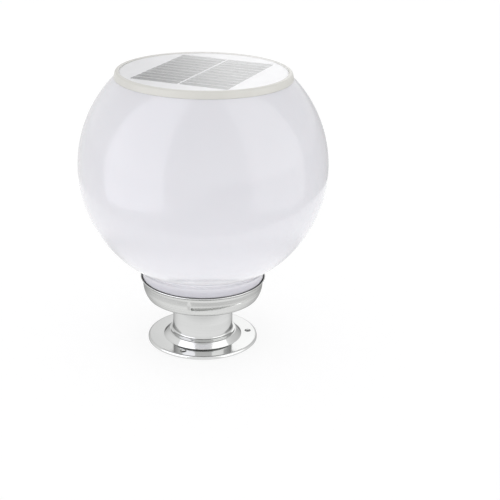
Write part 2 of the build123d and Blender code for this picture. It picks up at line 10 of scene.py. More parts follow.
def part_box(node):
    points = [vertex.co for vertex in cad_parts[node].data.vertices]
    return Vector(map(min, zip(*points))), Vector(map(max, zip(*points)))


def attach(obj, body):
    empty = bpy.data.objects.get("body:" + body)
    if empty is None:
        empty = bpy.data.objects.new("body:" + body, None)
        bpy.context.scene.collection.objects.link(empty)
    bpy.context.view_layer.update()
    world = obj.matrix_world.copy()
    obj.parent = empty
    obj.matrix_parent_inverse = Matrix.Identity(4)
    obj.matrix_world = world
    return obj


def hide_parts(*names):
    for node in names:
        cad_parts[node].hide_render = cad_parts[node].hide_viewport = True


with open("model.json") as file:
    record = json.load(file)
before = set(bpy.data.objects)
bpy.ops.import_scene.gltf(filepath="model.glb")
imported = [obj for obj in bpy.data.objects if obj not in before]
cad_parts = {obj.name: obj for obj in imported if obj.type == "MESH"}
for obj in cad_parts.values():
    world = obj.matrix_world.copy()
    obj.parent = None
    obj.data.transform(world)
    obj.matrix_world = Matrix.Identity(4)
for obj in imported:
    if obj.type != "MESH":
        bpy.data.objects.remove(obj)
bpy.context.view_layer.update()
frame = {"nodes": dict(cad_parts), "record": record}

# Looks of the solar fence light. All lengths are in metres, all angles in degrees and all places in the frame's
# own axes, unless a comment says otherwise.
MM = 0.001
TINY = 1e-9

# Sizes read from the frame
GLOBE_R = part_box("globe_shell")[1].x
RIM_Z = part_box("globe_shell")[1].z
NECK_END_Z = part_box("globe_shell")[0].z
CAP_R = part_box("cap_ring")[1].x
CAP_TOP_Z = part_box("cap_ring")[1].z
DISC_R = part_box("panel_window")[1].x
BOARD_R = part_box("panel_backing")[1].x
BOARD_LOW_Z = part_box("panel_backing")[0].z
COLLAR_LOW_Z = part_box("collar_cup")[0].z
STEM_FOOT_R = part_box("stem_tube")[1].x
STEM_LOW_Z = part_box("stem_tube")[0].z
STEM_TOP_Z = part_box("stem_tube")[1].z
SEAL_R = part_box("neck_seal_ring")[1].x
SEAL_LOW_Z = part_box("neck_seal_ring")[0].z
SEAL_TOP_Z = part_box("neck_seal_ring")[1].z

# Fineness of the turned pieces: steps round the axis, and the edge angle from which an edge is sharp
STEPS = 192
FINE_STEPS = 256
SHARP = 32
RING_SHARP = 40
COLLAR_SHARP = 45

# The globe's form
GLOBE_Z = 152 * MM
GLOBE_WALL = 2.5 * MM
GLOBE_POINTS = 96
GLOBE_INNER_POINTS = 48
NECK_R = 50.2 * MM
NECK_BLEND_R = 9.6 * MM
NECK_BLEND_POINTS = 14
SHOULDER_Z = 57.2 * MM
SHOULDER_EDGE = 0.4 * MM
SEAL_SEAT_R = 46.55 * MM
SEAL_SEAT_DEPTH = 3.5 * MM
SPIGOT_R = 44.8 * MM
SPIGOT_DEPTH = 5.5 * MM
SPIGOT_EDGE = 0.3 * MM
NECK_BORE_R = 42 * MM
NECK_BORE_TOP_Z = 55 * MM
THROAT_R = 45.2 * MM
THROAT_Z = 58.2 * MM
THROAT_BLEND_R = 12 * MM
THROAT_BLEND_POINTS = 10
RIM_OPENING_R = 63.5 * MM
LEDGE = 2.5 * MM

# The screw bosses inside the neck
BOSS_LOW_Z = 55 * MM
BOSS_TOP_Z = 62 * MM
BOSS_AT_R = 38 * MM
BOSS_INWARD = 3.4 * MM
BOSS_OUTWARD = 7.4 * MM
BOSS_HALF = 4 * MM
BOSS_STEPS = 24
BOSS_ANGLES = (30, 150, 270)
SCREW_HOLE_R = 1.25 * MM
SCREW_HOLE_TOP_Z = 60.5 * MM

# The cap ring's section, in millimetres: its foot, inward and up from the outer lower corner, the bend of its top
# edge, inward and down from the outer upper corner, and the round at its bore, outward and down
RING_FOOT = ((0.25, 0), (0, 0.3), (0, 0.8))
RING_BEND = ((0.7, 2.2), (1.0, 0), (3.2, 0))
RING_BEND_POINTS = 9
RING_ROUND = ((0.12, 0), (0.04, 0.04), (0, 0.12))
RING_BORE_GAP = 0.15 * MM

# The solar panel's form
CELL_ROWS = 11
CELL_THICK = 0.08 * MM
CELL_CUT = 0.6 * MM
ROW_GAP = 0.7 * MM
BUS_GAP = 1.05 * MM
FINGER_PITCH = 1.4 * MM
FINGER_WIDTH = 0.16 * MM
FINGER_FADE = 0.016 * MM
PANEL_DEPTH = 0.8 * MM
BOARD_EDGE = 0.3 * MM
COVER_INTO_BOARD = 0.03 * MM
COVER_BELOW_RING = 0.04 * MM
COVER_LAP = 0.12 * MM
COVER_EDGE = 0.08 * MM

# The collar's form
COLLAR_R = 49.8 * MM
COLLAR_SHEET = 0.8 * MM
COLLAR_KNEE_Z = 51.5 * MM
COLLAR_CURVE_R = 20.5 * MM
COLLAR_CORNER_R = 1.6 * MM
COLLAR_EDGE = 0.2 * MM
COLLAR_EDGE_ANGLE = 60
LIP_Z = 56.9 * MM
LIP_REACH = 2.2 * MM
LIP_HIGH = 4.2 * MM
BOLT_HOLE_R = 4.25 * MM

# Steps along the collar's section
FLARE_STEPS = 8
WALL_STEPS = 8
BOWL_STEPS = 60
CORNER_STEPS = 8
FLOOR_STEPS = 7

# The lugs of the twist lock. Each runs from a blunt end to a tapering one, between two edges that rise along it.
LUG_COUNT = 3
LUG_PITCH = 360 / LUG_COUNT
LUG_STEPS = (10, 14, 53, 23)
LUG_START = -76.0
LUG_SPAN = 48.0
LUG_BLUNT = 1.6
LUG_HEAD = 2.0
LUG_AHEAD = 6.0
LUG_TAIL = 0.06
LUG_TOP_Z = 49.0 * MM
LUG_TOP_RISE = 0.5 * MM
LUG_BOTTOM_Z = 44.8 * MM
LUG_BOTTOM_RISE = 3.2 * MM
LUG_DEPTH = 3 * MM
LUG_TAIL_DEPTH = 0.5 * MM
LUG_TAPER = 1.4
LUG_ZONE_R = 0.7 * COLLAR_R

# A lug's section, as shares of the way from its top edge to its bottom edge and the shares of its depth there: a soft
# slope, a deep groove and a steep foot
LUG_DOWN = (0, 0.1, 0.25, 0.34, 0.40, 0.46, 0.52, 0.66, 0.78, 0.86, 0.93, 1)
LUG_SHARES = (0, 0.04, 0.13, 0.24, 0.45, 0.85, 1.0, 1.0, 0.85, 0.40, 0.10, 0)

# The shallow valley beside a lug's blunt end
DIMPLE_REACH = 2.6
DIMPLE_Z = 49.2 * MM
DIMPLE_HALF_HIGH = 4.6 * MM
DIMPLE_DEPTH = 0.8 * MM

# The globe's thread ribs. Root and crest are (radius, height) in millimetres. The crest falls by some millimetres at
# both ends, from a share of the span on either side of its middle, over another share.
THREAD_LEAD = 14.4 * MM
RIB_SPAN = 44.0
RIB_STATIONS = 23
RIB_ROOT = ((44.3, 42.3), (44.3, 46.8))
RIB_CREST = ((46.0, 42.4), (46.6, 43.6), (46.5, 45.3))
RIB_FALL = 0.9
RIB_FULL = 0.35
RIB_END = 0.15

# The stem and the seal
STEM_R = 25 * MM
STEM_SHEET = 1.2 * MM
STEM_BEND_POINTS = 6
SEAL_POINTS = 16

# The opal's colours: the neck's, darkened as painted shade, up to the first height, the low part's, paled as painted
# light from below, at the second, and the milk's, above the third, between whose two colours a cloud varies
OPAL_NECK_PAINTED_SHADE = (0.69, 0.68, 0.735)
OPAL_LOW_PAINTED_LIGHT = (0.885, 0.877, 0.925)
OPAL_MILK = ((0.815, 0.807, 0.857), (0.825, 0.817, 0.867))
OPAL_NECK_SHADE_Z = SHOULDER_Z + 4 * MM
OPAL_LOW_LIGHT_Z = SHOULDER_Z + 13 * MM
OPAL_MILK_Z = SHOULDER_Z + 32 * MM

# Colours of the cells and of steel seen edge on
SILICON = ((0.11, 0.115, 0.12), (0.16, 0.165, 0.175))
SILVER = (0.62, 0.62, 0.61)
EDGE_TINT = (0.5, 0.5, 0.5, 1.0)

# Camera, as fitted to the photograph
CAMERA_AZIMUTH = 24.3
CAMERA_ELEVATION = 17.61
CAMERA_DISTANCE = 0.9
CAMERA_HEADING = 21.715
CAMERA_PITCH = -21.925
CAMERA_ROLL = 1.25
CAMERA_LENS = 80.48
CAMERA_SENSOR = 36.0

# Lamps. The windows stand on the floor and are seen in the object's gloss alone.
WINDOW_DISTANCE = 0.36
WINDOW_HEIGHT = 1.3
LEFT_WINDOW_COLOR = (0.915, 0.905, 1.0)
RIGHT_WINDOW_COLOR = (1, 1, 1)
LOW_FILL = 0.285
LOW_FILL_SIZE = 3.0
LOW_FILL_Z = 0.5 * MM

# A change of level along a direction is an azimuth and an elevation, where it starts and ends, and its two levels.
# Azimuths count from the camera's side of the object, positive to the camera's right.

# The world: its light on matt surfaces, its white to the eye, and what the gloss sees of it, where a change starts
# and ends at cosines of the angle to its direction
WORLD_LIGHT = 0.86
WORLD_SEEN = 1.0
WORLD_AROUND = (180, 0, -0.2, 0.5, WORLD_SEEN, 0.76)
WORLD_LEFT = (-112, 0, 0.6, 0.95, 0.0, 0.18)
WORLD_HIGH = (180, 37, cos(radians(24)), cos(radians(12)), 0.0, 0.27)
REAR_WINDOW = (180, 20, cos(radians(32)), cos(radians(14)), 0.0, 1.0)
REAR_WINDOW_ACROSS = (90, 0, -0.065, 0.04, 0.68, 1.27)

# The floor: its white to the eye, the share of that in what the eye sees, and what the gloss sees of it. That is a
# round table, whose middle lies behind the object and which is dimmer in a ring round the object's axis, a painted
# shadow of the object, and the floor beyond, where a change starts and ends at distances from that axis.
FLOOR_SIZE = 20
FLOOR_DROP = 0.05 * MM
FLOOR_WHITE = 1.12
FLOOR_SEEN = 0.65
TABLE_BACK = 0.14
TABLE_R = 0.345
TABLE_EDGE = 4 * MM
TABLE_LEVEL = 1.0
TABLE_PAINTED_SHADOW = 0.70
TABLE_SHADOW_IN = (0.100, 0.145)
TABLE_SHADOW_OUT = (0.165, 0.200)
FLOOR_FRONT = 0.45
FLOOR_LEFT = 0.80
FLOOR_RIGHT = 0.56
FLOOR_ACROSS = (90, 0, -0.3, 0.3, FLOOR_LEFT, FLOOR_RIGHT)
FLOOR_LEFT_FRONT = (-80, 0, 0.16, 0.24, FLOOR_FRONT, FLOOR_LEFT)
FLOOR_BEHIND = (180, 0, -0.05, 0.15, 0.0, 1.0)


# Places


def direction(azimuth, elevation):
    """Unit vector at an azimuth, counted from the camera's side of the object, and an elevation."""
    turn = radians(CAMERA_AZIMUTH + azimuth)
    level = cos(radians(elevation))
    return Vector((level * sin(turn), -level * cos(turn), sin(radians(elevation))))


def on_circle(centre, radius, angle):
    """Point of a circle at an angle."""
    turn = radians(angle)
    return (centre[0] + radius * cos(turn), centre[1] + radius * sin(turn))


def arc(centre, radius, start, end, count):
    """Points along an arc between two angles, ends included."""
    return [on_circle(centre, radius, start + (end - start) * i / (count - 1)) for i in range(count)]


def bend(start, pull, end, count):
    """Points along the curve between two points that a third one pulls, ends included."""
    points = []
    for i in range(count):
        t = i / (count - 1)
        points.append(tuple((1 - t) ** 2 * a + 2 * t * (1 - t) * b + t**2 * c for a, b, c in zip(start, pull, end)))
    return points


# Mesh helpers


def mesh_piece(name, bm, sharp=SHARP):
    """Object from a bmesh, smooth except at edges sharper than an angle."""
    bmesh.ops.recalc_face_normals(bm, faces=bm.faces)
    mesh = bpy.data.meshes.new(name)
    bm.to_mesh(mesh)
    bm.free()
    mesh.shade_smooth()
    mesh.set_sharp_from_angle(angle=radians(sharp))
    piece = bpy.data.objects.new(name, mesh)
    bpy.context.scene.collection.objects.link(piece)
    return piece


def lathe(bm, outline, steps):
    """Adds the solid that a closed outline of (radius, height) points makes about Z."""
    turns = [2 * pi * i / steps for i in range(steps)]
    rings = []
    for radius, height in outline:
        if radius < TINY:
            rings.append([bm.verts.new((0, 0, height))])
        else:
            rings.append([bm.verts.new((radius * cos(t), radius * sin(t), height)) for t in turns])
    for low, high in zip(rings, rings[1:] + rings[:1]):
        for i in range(steps):
            j = (i + 1) % steps
            corners = [low[i % len(low)], low[j % len(low)], high[j % len(high)], high[i % len(high)]]
            corners = list(dict.fromkeys(corners))
            if len(corners) > 2:
                bm.faces.new(corners)


def lathe_piece(name, outline, steps=STEPS, sharp=SHARP):
    """Object made by turning a closed outline about Z."""
    bm = bmesh.new()
    lathe(bm, outline, steps)
    return mesh_piece(name, bm, sharp)


def stitch(bm, loops):
    """Joins each loop of corners to the next one by a band of faces."""
    for first, second in zip(loops, loops[1:]):
        for i in range(len(first)):
            j = (i + 1) % len(first)
            bm.faces.new((first[i], first[j], second[j], second[i]))


def add_loft(bm, sections):
    """Adds the closed solid through sections that have the same number of corners."""
    loops = [[bm.verts.new(point) for point in section] for section in sections]
    stitch(bm, loops)
    bm.faces.new(loops[0][::-1])
    bm.faces.new(loops[-1])


# Material helpers


class Nodes:
    """A node tree, with short ways to add to it."""

    def __init__(self, tree, place):
        self.tree = tree
        self.place = self.node("ShaderNodeTexCoord").outputs[place]

    def node(self, kind, **settings):
        node = self.tree.nodes.new(kind)
        for name, value in settings.items():
            setattr(node, name, value)
        return node

    def put(self, value, target):
        """Links a socket to a target, or sets the target to a number, a vector or a colour."""
        if isinstance(value, bpy.types.NodeSocket):
            self.tree.links.new(value, target)
        else:
            target.default_value = (*value[:3], 1.0) if target.type == "RGBA" else value

    def math(self, kind, first, second):
        node = self.node("ShaderNodeMath", operation=kind)
        self.put(first, node.inputs[0])
        self.put(second, node.inputs[1])
        return node.outputs["Value"]

    def measure(self, kind, place):
        """Number that an operation makes of the shaded place and another place or direction."""
        node = self.node("ShaderNodeVectorMath", operation=kind)
        self.put(self.place, node.inputs[0])
        self.put(place, node.inputs[1])
        return node.outputs["Value"]

    def coordinate(self, axis):
        """One coordinate of the shaded place."""
        split = self.node("ShaderNodeSeparateXYZ")
        self.put(self.place, split.inputs["Vector"])
        return split.outputs[axis]

    def noise(self, scale, detail=4.0, stretch=(1, 1, 1)):
        """Noise over the shaded places, with features about 1/scale across."""
        mapping = self.node("ShaderNodeMapping")
        self.put(stretch, mapping.inputs["Scale"])
        self.put(self.place, mapping.inputs["Vector"])
        noise = self.node("ShaderNodeTexNoise")
        self.put(scale, noise.inputs["Scale"])
        self.put(detail, noise.inputs["Detail"])
        self.put(mapping.outputs["Vector"], noise.inputs["Vector"])
        return noise.outputs["Fac"]

    def ramp(self, value, low, high, from_low=0.3, from_high=0.7, shape="LINEAR"):
        """A value mapped from one range to another, clamped."""
        node = self.node("ShaderNodeMapRange", interpolation_type=shape)
        for name, number in (("From Min", from_low), ("From Max", from_high), ("To Min", low), ("To Max", high)):
            self.put(number, node.inputs[name])
        self.put(value, node.inputs["Value"])
        return node.outputs["Result"]

    def along(self, azimuth, elevation, start, end, low, high, shape="LINEAR"):
        """A level that changes from one to another along a direction."""
        return self.ramp(self.measure("DOT_PRODUCT", direction(azimuth, elevation)), low, high, start, end, shape)

    def mix(self, factor, first, second, data_type="RGBA"):
        """Two colours or numbers mixed by a factor."""
        node = self.node("ShaderNodeMix", data_type=data_type)
        for value, name in ((factor, "Factor"), (first, "A"), (second, "B")):
            self.put(value, node.inputs[name])
        return node.outputs["Result"]

    def mix_shaders(self, factor, first, second):
        node = self.node("ShaderNodeMixShader")
        self.put(factor, node.inputs["Fac"])
        self.put(first, node.inputs[1])
        self.put(second, node.inputs[2])
        return node.outputs["Shader"]

    def emission(self, strength):
        node = self.node("ShaderNodeEmission")
        self.put(strength, node.inputs["Strength"])
        return node.outputs["Emission"]

    def rays(self):
        """Marks of the camera's rays, and of those that a surface has mirrored or let through."""
        ray = self.node("ShaderNodeLightPath").outputs
        return ray["Is Camera Ray"], self.math("MAXIMUM", ray["Is Glossy Ray"], ray["Is Transmission Ray"])


class Look(Nodes):
    """A node material built round one Principled shader."""

    def __init__(self, name, color, roughness, **sockets):
        self.material = bpy.data.materials.new(name)
        self.material.use_nodes = True
        super().__init__(self.material.node_tree, "Object")
        self.shader = self.tree.nodes["Principled BSDF"]
        self.color = color
        self.roughness = roughness
        self.put(color, self.shader.inputs["Base Color"])
        self.put(roughness, self.shader.inputs["Roughness"])
        for socket, value in sockets.items():
            self.put(value, self.shader.inputs[socket.replace("_", " ")])

    def paint(self, color):
        self.put(color, self.shader.inputs["Base Color"])

    def mottle(self, scale, amount, **noise):
        """Slow variation of the colour's brightness."""
        dark = [c * (1 - amount) for c in self.color]
        light = [min(1.0, c * (1 + amount)) for c in self.color]
        self.paint(self.mix(self.ramp(self.noise(scale, **noise), 0.0, 1.0), dark, light))
        return self

    def polish(self, scale, spread, **noise):
        """Variation of the roughness."""
        value = self.ramp(self.noise(scale, **noise), self.roughness - spread, self.roughness + spread)
        self.put(value, self.shader.inputs["Roughness"])
        return self

    def bump(self, height, scale, **noise):
        """Relief of a height in metres."""
        node = self.node("ShaderNodeBump")
        self.put(height, node.inputs["Distance"])
        self.put(1.0, node.inputs["Strength"])
        self.put(self.noise(scale, **noise), node.inputs["Height"])
        self.put(node.outputs["Normal"], self.shader.inputs["Normal"])
        return self

    def surface(self, shader):
        """Takes a mixed shader as the material's surface."""
        self.put(shader, self.tree.nodes["Material Output"].inputs["Surface"])


def opal():
    """Glossy opal plastic: milky with a faint cool tint, paled low on the globe by painted light and darkened at the
    neck by painted shade.
    """
    look = Look(
        "opal", (0.82, 0.812, 0.862), 0.18,
        Subsurface_Weight=0.35, Subsurface_Scale=4 * MM, Subsurface_Radius=(1.0, 0.9, 0.9),
        IOR=1.49, Coat_Weight=0.6, Coat_Roughness=0.1,
    )
    height = look.coordinate("Z")
    # Painted shade darkens the neck, and painted light from below pales the low part of the globe
    neck = look.ramp(height, 1.0, 0.0, OPAL_NECK_SHADE_Z, OPAL_LOW_LIGHT_Z)
    low = look.ramp(height, 1.0, 0.0, OPAL_LOW_LIGHT_Z, OPAL_MILK_Z)
    milk = look.mix(look.ramp(look.noise(scale=9.0), 0.0, 1.0), *OPAL_MILK)
    look.paint(look.mix(neck, look.mix(low, milk, OPAL_LOW_PAINTED_LIGHT), OPAL_NECK_PAINTED_SHADE))
    look.polish(scale=30.0, spread=0.02)
    return look.material


def ivory():
    """Satin ivory moulding."""
    look = Look("ivory", (0.745, 0.735, 0.695), 0.27)
    look.mottle(scale=60.0, amount=0.02).bump(height=0.02 * MM, scale=1500.0)
    return look.material


def brushed_steel():
    """Stainless sheet brushed round its axis."""
    look = Look("brushed_steel", (0.70, 0.705, 0.695), 0.24, Metallic=1.0, Specular_Tint=EDGE_TINT)
    look.mottle(scale=60.0, amount=0.05, stretch=(0.3, 0.3, 14.0))
    look.polish(scale=80.0, spread=0.06, stretch=(0.3, 0.3, 12.0))
    look.bump(height=0.012 * MM, scale=220.0, stretch=(0.12, 0.12, 12.0))
    return look.material


def polished_steel():
    """Polished stainless sheet with faint turning marks."""
    look = Look("polished_steel", (0.69, 0.695, 0.69), 0.10, Metallic=1.0, Specular_Tint=EDGE_TINT)
    look.mottle(scale=50.0, amount=0.03, stretch=(0.4, 0.4, 8.0))
    look.polish(scale=70.0, spread=0.04, stretch=(0.3, 0.3, 8.0))
    return look.material


def fastener_steel():
    """Plain stainless of bolts and screws."""
    look = Look("fastener_steel", (0.56, 0.56, 0.555), 0.30, Metallic=1.0)
    look.mottle(scale=300.0, amount=0.06).polish(scale=400.0, spread=0.08)
    return look.material


def nickel():
    """Nickel-plated spring strip."""
    look = Look("nickel", (0.66, 0.63, 0.58), 0.22, Metallic=1.0)
    look.mottle(scale=250.0, amount=0.05).polish(scale=300.0, spread=0.06)
    return look.material


def rubber():
    """Matt dark rubber."""
    look = Look("dark_rubber", (0.25, 0.25, 0.25), 0.62)
    look.mottle(scale=120.0, amount=0.2).bump(height=0.03 * MM, scale=900.0)
    return look.material


def foam():
    """Closed-cell foam."""
    look = Look("foam", (0.10, 0.10, 0.10), 0.85)
    look.mottle(scale=500.0, amount=0.35).bump(height=0.12 * MM, scale=1400.0)
    return look.material


def moulded(name, color, roughness):
    """Plain plastic, enamel or resin with a fine texture."""
    look = Look(name, color, roughness)
    look.mottle(scale=80.0, amount=0.03).bump(height=0.02 * MM, scale=1200.0)
    return look.material


def clear_cover():
    """Clear resin: a glossy face to the eye, open to the lamps, so that what lies under it is lit."""
    look = Look(
        "clear_cover", (1.0, 1.0, 1.0), 0.02,
        Transmission_Weight=1.0, IOR=1.0, Coat_Weight=1.0, Coat_Roughness=0.02,
    )
    look.polish(scale=40.0, spread=0.01)
    shadow = look.node("ShaderNodeLightPath").outputs["Is Shadow Ray"]
    nothing = look.node("ShaderNodeBsdfTransparent").outputs["BSDF"]
    look.surface(look.mix_shaders(shadow, look.shader.outputs["BSDF"], nothing))
    return look.material


def cell():
    """Silicon with a metallic sheen and fine printed silver fingers across it."""
    look = Look("solar_cell", (0.30, 0.30, 0.31), 0.14, Metallic=0.85)
    aside = look.math("PINGPONG", look.coordinate("X"), FINGER_PITCH / 2)
    finger = look.ramp(aside, 1.0, 0.0, FINGER_WIDTH / 2, FINGER_WIDTH / 2 + FINGER_FADE)
    grain = look.ramp(look.noise(scale=260.0, detail=2.0), 0.0, 1.0)
    look.paint(look.mix(finger, look.mix(grain, *SILICON), SILVER))
    look.polish(scale=200.0, spread=0.03)
    return look.material


# Colour and roughness of the plain mouldings, boards and wires
PLAIN = {
    "panel_white": ((0.775, 0.775, 0.795), 0.4),
    "white_plastic": ((0.78, 0.78, 0.77), 0.45),
    "black_plastic": ((0.03, 0.03, 0.03), 0.45),
    "green_board": ((0.03, 0.16, 0.07), 0.3),
    "white_board": ((0.80, 0.80, 0.78), 0.3),
    "led_package": ((0.85, 0.66, 0.18), 0.25),
    "battery_sleeve": ((0.05, 0.18, 0.42), 0.3),
    "component_dark": ((0.04, 0.04, 0.045), 0.5),
    "wire_red": ((0.45, 0.03, 0.02), 0.4),
    "wire_black": ((0.025, 0.025, 0.025), 0.4),
}

LOOKS = {name: moulded(name, *look) for name, look in PLAIN.items()}
LOOKS["opal_plastic"] = opal()
LOOKS["ivory_plastic"] = ivory()
LOOKS["clear_cover"] = clear_cover()
LOOKS["solar_cell"] = cell()
LOOKS["brushed_steel"] = brushed_steel()
LOOKS["polished_steel"] = polished_steel()
LOOKS["fastener_steel"] = fastener_steel()
LOOKS["dark_rubber"] = rubber()
LOOKS["foam"] = foam()
LOOKS["nickel"] = nickel()


def dress(piece, slot, body, *nodes):
    """Gives a new piece its look and the body that it rides on, and hides the CAD nodes that it stands for."""
    piece.data.materials.clear()
    piece.data.materials.append(LOOKS[slot])
    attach(piece, body)
    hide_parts(*nodes)


# CAD nodes that stay: each takes the look of its slot

for part in frame["record"]["subparts"]:
    node = frame["nodes"][part["node"]]
    for material_slot in node.material_slots:
        material_slot.material = LOOKS[part["material_slot"]]


# Globe


def blend_arc(neck_r, blend_r, sphere_r, count):
    """Arc that blends an upright neck into a sphere, from the sphere down to the neck."""
    across = neck_r + blend_r
    height = GLOBE_Z - sqrt((sphere_r + blend_r) ** 2 - across**2)
    turn = degrees(asin((GLOBE_Z - height) / (sphere_r + blend_r)))
    return arc((across, height), blend_r, 180 - turn, 180, count)


def sphere_arc(radius, start_z, end, count):
    """Arc of the sphere from a height to a point."""
    first = degrees(asin((start_z - GLOBE_Z) / radius))
    last = degrees(atan2(end[1] - GLOBE_Z, end[0]))
    return arc((0, GLOBE_Z), radius, first, last, count)


def globe_outline():
    """The globe's wall: sphere, neck blend, spigot, bore and the ledge round the opening on top."""
    inner_r = GLOBE_R - GLOBE_WALL
    ledge_z = RIM_Z - LEDGE
    outer_blend = blend_arc(NECK_R, NECK_BLEND_R, GLOBE_R, NECK_BLEND_POINTS)
    inner_blend = blend_arc(THROAT_R, THROAT_BLEND_R, inner_r, THROAT_BLEND_POINTS)
    outline = sphere_arc(GLOBE_R, RIM_Z, outer_blend[0], GLOBE_POINTS)
    outline += outer_blend[1:]
    outline += [
        (NECK_R, SHOULDER_Z + SHOULDER_EDGE),
        (NECK_R - SHOULDER_EDGE, SHOULDER_Z),
        (SEAL_SEAT_R, SHOULDER_Z),
        (SEAL_SEAT_R, SHOULDER_Z - SEAL_SEAT_DEPTH),
        (SPIGOT_R, SHOULDER_Z - SPIGOT_DEPTH),
        (SPIGOT_R, NECK_END_Z + SPIGOT_EDGE),
        (SPIGOT_R - SPIGOT_EDGE, NECK_END_Z),
        (NECK_BORE_R, NECK_END_Z),
        (NECK_BORE_R, NECK_BORE_TOP_Z),
        (THROAT_R, THROAT_Z),
    ]
    outline += inner_blend[::-1]
    outline += sphere_arc(inner_r, ledge_z, inner_blend[0], GLOBE_INNER_POINTS)[::-1][1:]
    outline += [(RIM_OPENING_R, ledge_z), (RIM_OPENING_R, RIM_Z)]
    return outline


def rib_section(angle, rise, fall):
    """Section of a thread rib on the spigot, whose crest has fallen by some millimetres towards the wall."""
    points = [RIB_ROOT[0], *((r - fall, z) for r, z in RIB_CREST), RIB_ROOT[1]]
    turn = radians(angle)
    return [(r * MM * cos(turn), r * MM * sin(turn), z * MM + rise) for r, z in points]


def add_rib(bm, start):
    """Adds one helical thread rib, which fades into the spigot at both its ends."""
    sections = []
    for i in range(RIB_STATIONS):
        share = i / (RIB_STATIONS - 1)
        rise = THREAD_LEAD * RIB_SPAN * share / 360
        fall = RIB_FALL * max(0.0, abs(share - 0.5) - RIB_FULL) / RIB_END
        sections.append(rib_section(start + RIB_SPAN * share, rise, fall))
    add_loft(bm, sections)


def add_boss(bm, angle):
    """Adds a boss inside the neck, with the blind hole for one screw of the light engine."""
    corners = [atan2(y, x) for x in (BOSS_OUTWARD, -BOSS_INWARD) for y in (BOSS_HALF, -BOSS_HALF)]
    turns = sorted([2 * pi * i / BOSS_STEPS - pi for i in range(BOSS_STEPS)] + corners)
    axis = Matrix.Rotation(radians(angle), 4, "Z") @ Matrix.Translation((BOSS_AT_R, 0, 0))

    def side(turn):
        """Distance from the hole's axis to the boss's side."""
        across = (BOSS_OUTWARD if cos(turn) > 0 else BOSS_INWARD) / max(abs(cos(turn)), TINY)
        return min(across, BOSS_HALF / max(abs(sin(turn)), TINY))

    def section(radii, height):
        return [axis @ Vector((r * cos(t), r * sin(t), height)) for r, t in zip(radii, turns)]

    sides = [side(turn) for turn in turns]
    hole = [SCREW_HOLE_R] * len(turns)
    add_loft(bm, [
        section(sides, BOSS_TOP_Z), section(sides, BOSS_LOW_Z),
        section(hole, BOSS_LOW_Z), section(hole, SCREW_HOLE_TOP_Z),
    ])


def globe():
    """Opal globe, with the screw bosses and thread ribs of its neck."""
    bm = bmesh.new()
    lathe(bm, globe_outline(), FINE_STEPS)
    for angle in BOSS_ANGLES:
        add_boss(bm, angle)
    for i in range(LUG_COUNT):
        add_rib(bm, LUG_START + (LUG_SPAN - RIB_SPAN) / 2 + LUG_PITCH * i)
    dress(mesh_piece("opal_globe", bm), "opal_plastic", "globe", "globe_shell")


# Solar cap


def cap_ring():
    """Bevelled ring: near-upright side, rounded top edge and a small round at the clear cover."""
    inner = DISC_R + RING_BORE_GAP
    outline = [(inner, RIM_Z)]
    outline += [(CAP_R - x * MM, RIM_Z + z * MM) for x, z in RING_FOOT]
    outline += bend(*((CAP_R - x * MM, CAP_TOP_Z - z * MM) for x, z in RING_BEND), RING_BEND_POINTS)
    outline += [(inner + x * MM, CAP_TOP_Z - z * MM) for x, z in RING_ROUND]
    dress(lathe_piece("ivory_ring", outline, FINE_STEPS, RING_SHARP), "ivory_plastic", "globe", "cap_ring")


def disc_outline(radius, low, top, edge):
    """Half section of a disc whose upper edge is cut."""
    return [(0, low), (radius, low), (radius, top - edge), (radius - edge, top), (0, top)]


def cover():
    """Clear resin over the board, with the cells set in it, almost flush with the ring."""
    low = CAP_TOP_Z - PANEL_DEPTH - CELL_THICK - COVER_INTO_BOARD
    outline = disc_outline(DISC_R + COVER_LAP, low, CAP_TOP_Z - COVER_BELOW_RING, COVER_EDGE)
    dress(lathe_piece("clear_cover_disc", outline), "clear_cover", "globe", "panel_window")


def add_strip(bm, low, high):
    """Adds a thin plate with its four corners cut off."""
    cut = CELL_CUT
    outline = [
        (low[0] + cut, low[1]), (high[0] - cut, low[1]),
        (high[0], low[1] + cut), (high[0], high[1] - cut),
        (high[0] - cut, high[1]), (low[0] + cut, high[1]),
        (low[0], high[1] - cut), (low[0], low[1] + cut),
    ]
    add_loft(bm, [[(x, y, z) for x, y in outline] for z in (low[2], high[2])])


def panel():
    """White board and the thin cell strips on it, in two columns."""
    top = CAP_TOP_Z - PANEL_DEPTH
    low = top - CELL_THICK
    board = lathe_piece("panel_board", disc_outline(BOARD_R, BOARD_LOW_Z, low, BOARD_EDGE))
    dress(board, "panel_white", "globe", "panel_backing")
    for side in ("left", "right"):
        first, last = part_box("cell_column_" + side)
        pitch = (last.y - first.y + ROW_GAP) / CELL_ROWS
        bm = bmesh.new()
        for row in range(CELL_ROWS):
            start = first.y + row * pitch
            add_strip(bm, (first.x, start, low), (last.x, start + pitch - BUS_GAP, top))
        dress(mesh_piece("cell_strips_" + side, bm), "solar_cell", "globe", "cell_column_" + side)


# Collar


